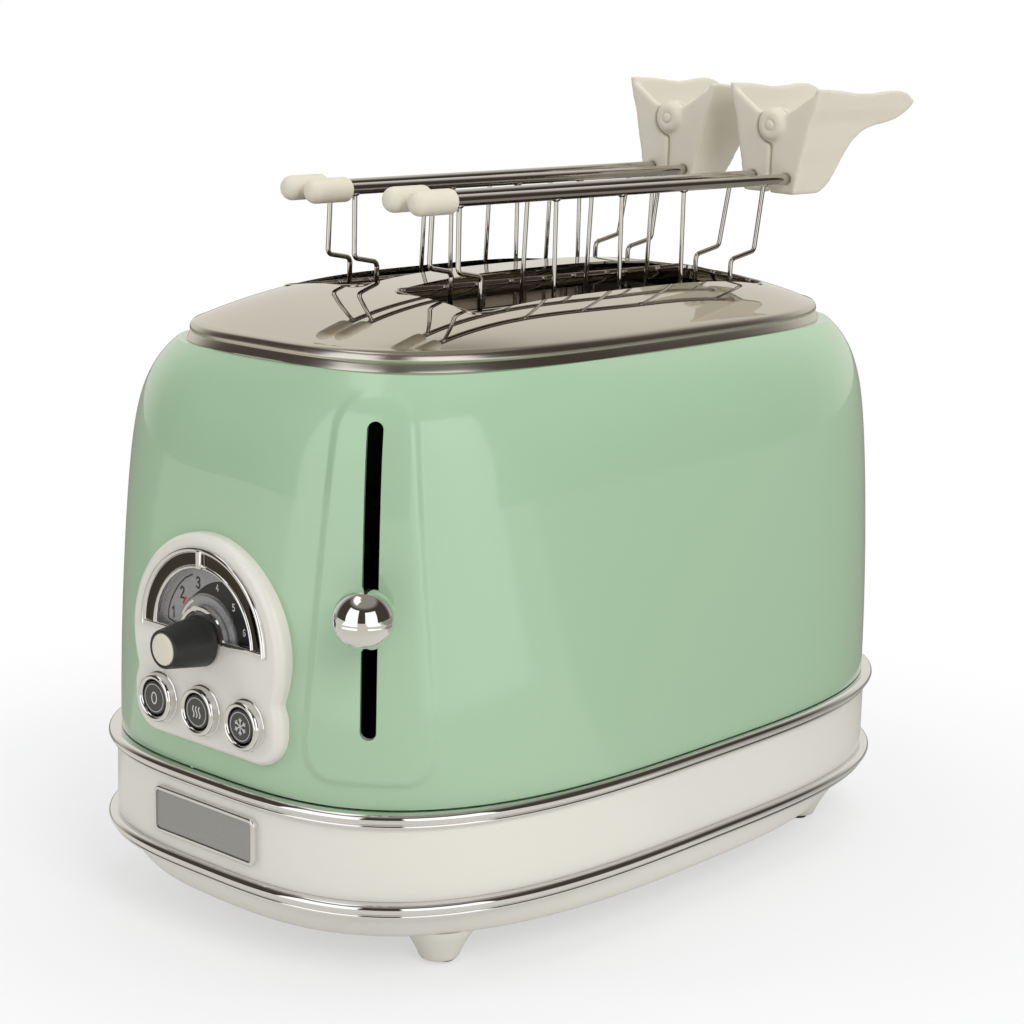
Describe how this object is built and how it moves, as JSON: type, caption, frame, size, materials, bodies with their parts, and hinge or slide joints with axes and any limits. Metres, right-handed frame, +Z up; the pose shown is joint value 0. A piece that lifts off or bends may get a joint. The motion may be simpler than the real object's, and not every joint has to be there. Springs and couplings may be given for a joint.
{
  "type": "toaster",
  "caption": "Retro loaf-shaped toaster with a domed steel top, side lever, round browning dial, three keys, crumb tray and wire sandwich tongs standing in its slots.",
  "frame": {"origin": "on the worktop, under the middle of the body", "axes": "+Z up; +Y along the bread slots, away from the control end; +X towards the side with the lever"},
  "size_m": [0.2, 0.3468, 0.2846],
  "materials": {
    "enamel": "gloss mint enamel",
    "dome_steel": "satin, brushed",
    "chrome": "mirror",
    "cream_gloss": "gloss cream",
    "cream_matte": "matte cream",
    "black_satin": "satin black",
    "dial_print": "satin grey with printed scale",
    "button_dark": "dark with light symbols",
    "rubber": "matte",
    "sheet_steel": "bright zinc-coated sheet",
    "wire_steel": "polished wire",
    "mica": "matte mica board",
    "heater_wire": "flat resistance wire",
    "board_green": "laminate",
    "component_black": "moulded",
    "spring_steel": "wound wire",
    "badge_steel": "satin, blank"
  },
  "bodies": {
    "housing": {"body_shell": "enamel", "top_plate": "dome_steel", "upper_chrome_ring": "chrome", "lower_chrome_ring": "chrome", "base_band": "cream_gloss", "base_tray": "cream_gloss", "base_screws": "sheet_steel", "feet": "cream_gloss", "foot_pads": "rubber", "control_bezel": "cream_gloss", "dial_face": "dial_print", "dial_frame": "chrome", "button_rings": "chrome", "circuit_board": "board_green", "board_components": "component_black", "browning_control": "component_black", "badge_frame": "chrome", "badge_plate": "badge_steel", "cord_gland": "black_satin", "chassis_base": "sheet_steel", "front_plate": "sheet_steel", "rear_plate": "sheet_steel", "oven_floor": "sheet_steel", "heat_shields": "sheet_steel", "heater_boards": "mica", "heater_wires": "heater_wire", "bread_guides": "wire_steel", "guide_rod": "wire_steel", "lift_spring": "spring_steel", "latch_magnet": "component_black"},
    "tray": {"crumb_tray": "sheet_steel", "crumb_tray_front": "cream_gloss"},
    "browning_dial": {"browning_knob": "black_satin", "knob_cap": "cream_matte", "knob_shaft": "cream_matte", "pointer_disc": "dial_print"},
    "cancel_key": {"cancel_button": "button_dark"},
    "reheat_key": {"reheat_button": "button_dark"},
    "defrost_key": {"defrost_button": "button_dark"},
    "lever_carriage": {"carriage": "sheet_steel", "latch_plate": "sheet_steel", "bread_racks": "sheet_steel", "lever_stem": "black_satin", "lever_ball": "chrome", "lever_arm": "sheet_steel"},
    "right_tong": {"right_tong_pin": "spring_steel"},
    "right_tong_outer": {"right_tong_outer_handle": "cream_matte", "right_tong_outer_cage": "wire_steel", "right_tong_outer_cap": "cream_matte"},
    "right_tong_inner": {"right_tong_inner_handle": "cream_matte", "right_tong_inner_cage": "wire_steel", "right_tong_inner_cap": "cream_matte"},
    "left_tong": {"left_tong_pin": "spring_steel"},
    "left_tong_outer": {"left_tong_outer_handle": "cream_matte", "left_tong_outer_cage": "wire_steel", "left_tong_outer_cap": "cream_matte"},
    "left_tong_inner": {"left_tong_inner_handle": "cream_matte", "left_tong_inner_cage": "wire_steel", "left_tong_inner_cap": "cream_matte"}
  },
  "joints": [
    {"name": "lever_slide", "type": "slide", "parent": "housing", "child": "lever_carriage", "axis": [0, 0, 1], "range_m": [-0.035, 0.052], "stiffness_N_per_m": 250, "deforming": ["lift_spring"]},
    {"name": "dial_turn", "type": "hinge", "parent": "housing", "child": "browning_dial", "pos_m": [0, -0.151, 0.107], "axis": [0, 1, 0], "range_deg": [-32, 110]},
    {"name": "cancel_press", "type": "slide", "parent": "housing", "child": "cancel_key", "axis": [0, 1, 0], "range_m": [0, 0.0025], "stiffness_N_per_m": 300},
    {"name": "reheat_press", "type": "slide", "parent": "housing", "child": "reheat_key", "axis": [0, 1, 0], "range_m": [0, 0.0025], "stiffness_N_per_m": 300},
    {"name": "defrost_press", "type": "slide", "parent": "housing", "child": "defrost_key", "axis": [0, 1, 0], "range_m": [0, 0.0025], "stiffness_N_per_m": 300},
    {"name": "tray_slide", "type": "slide", "parent": "housing", "child": "tray", "axis": [0, 1, 0], "range_m": [0, 0.2]},
    {"name": "right_tong_lift", "type": "slide", "parent": "housing", "child": "right_tong", "axis": [0, 0, 1], "range_m": [0, 0.15]},
    {"name": "right_tong_outer_open", "type": "hinge", "parent": "right_tong", "child": "right_tong_outer", "pos_m": [0.028, 0.112, 0.269], "axis": [0, 1, 0], "range_deg": [-2, 0], "stiffness_Nm_per_rad": 0.6, "springref_deg": 2.86},
    {"name": "right_tong_inner_open", "type": "hinge", "parent": "right_tong", "child": "right_tong_inner", "pos_m": [0.028, 0.112, 0.269], "axis": [0, 1, 0], "range_deg": [0, 2], "stiffness_Nm_per_rad": 0.6, "springref_deg": -2.86},
    {"name": "left_tong_lift", "type": "slide", "parent": "housing", "child": "left_tong", "axis": [0, 0, 1], "range_m": [0, 0.15]},
    {"name": "left_tong_outer_open", "type": "hinge", "parent": "left_tong", "child": "left_tong_outer", "pos_m": [-0.0255, 0.1155, 0.269], "axis": [0, 1, 0], "range_deg": [-2, 0], "stiffness_Nm_per_rad": 0.6, "springref_deg": 2.86},
    {"name": "left_tong_inner_open", "type": "hinge", "parent": "left_tong", "child": "left_tong_inner", "pos_m": [-0.0255, 0.1155, 0.269], "axis": [0, 1, 0], "range_deg": [0, 2], "stiffness_Nm_per_rad": 0.6, "springref_deg": -2.86}
  ],
  "couplings": [
    {"joint": "right_tong_inner_open", "follows": "right_tong_outer_open", "ratio": -1},
    {"joint": "left_tong_inner_open", "follows": "left_tong_outer_open", "ratio": -1}
  ]
}
